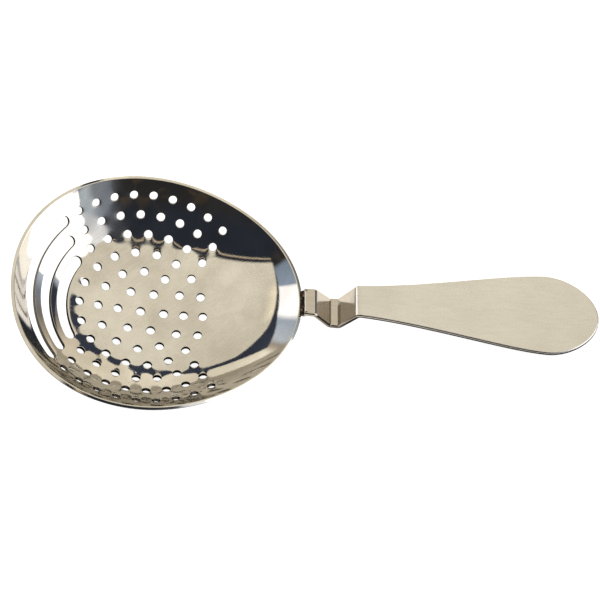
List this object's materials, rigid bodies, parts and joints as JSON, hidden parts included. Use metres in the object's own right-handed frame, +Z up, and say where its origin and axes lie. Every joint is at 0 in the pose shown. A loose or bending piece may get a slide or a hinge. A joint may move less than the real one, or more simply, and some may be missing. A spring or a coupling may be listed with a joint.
{
  "type": "julep strainer",
  "caption": "Julep strainer: a perforated, slotted, egg-shaped steel bowl with a bent flat handle welded to its rim, notched to sit on a mixing glass.",
  "frame": {"origin": "centre of the bounding box's footprint, on the plane that the strainer lies on, touched by the bowl's belly and the handle's tip", "axes": "+X runs from the bowl's slotted front towards the handle's tip, +Z is up, away from the table and out of the bowl's mouth, +Y completes a right-handed frame"},
  "size_m": [0.1626, 0.0712, 0.0202],
  "materials": {
    "polished_steel": "mirror-polished stainless steel with fine wiping scratches",
    "satin_steel": "warm satin stainless steel, ground along its length",
    "weld": "raw, heat-tinted weld metal"
  },
  "bodies": {
    "root": {"bowl": "polished_steel", "handle": "satin_steel", "weld_bead_top": "weld", "weld_bead_under": "weld"}
  },
  "joints": []
}
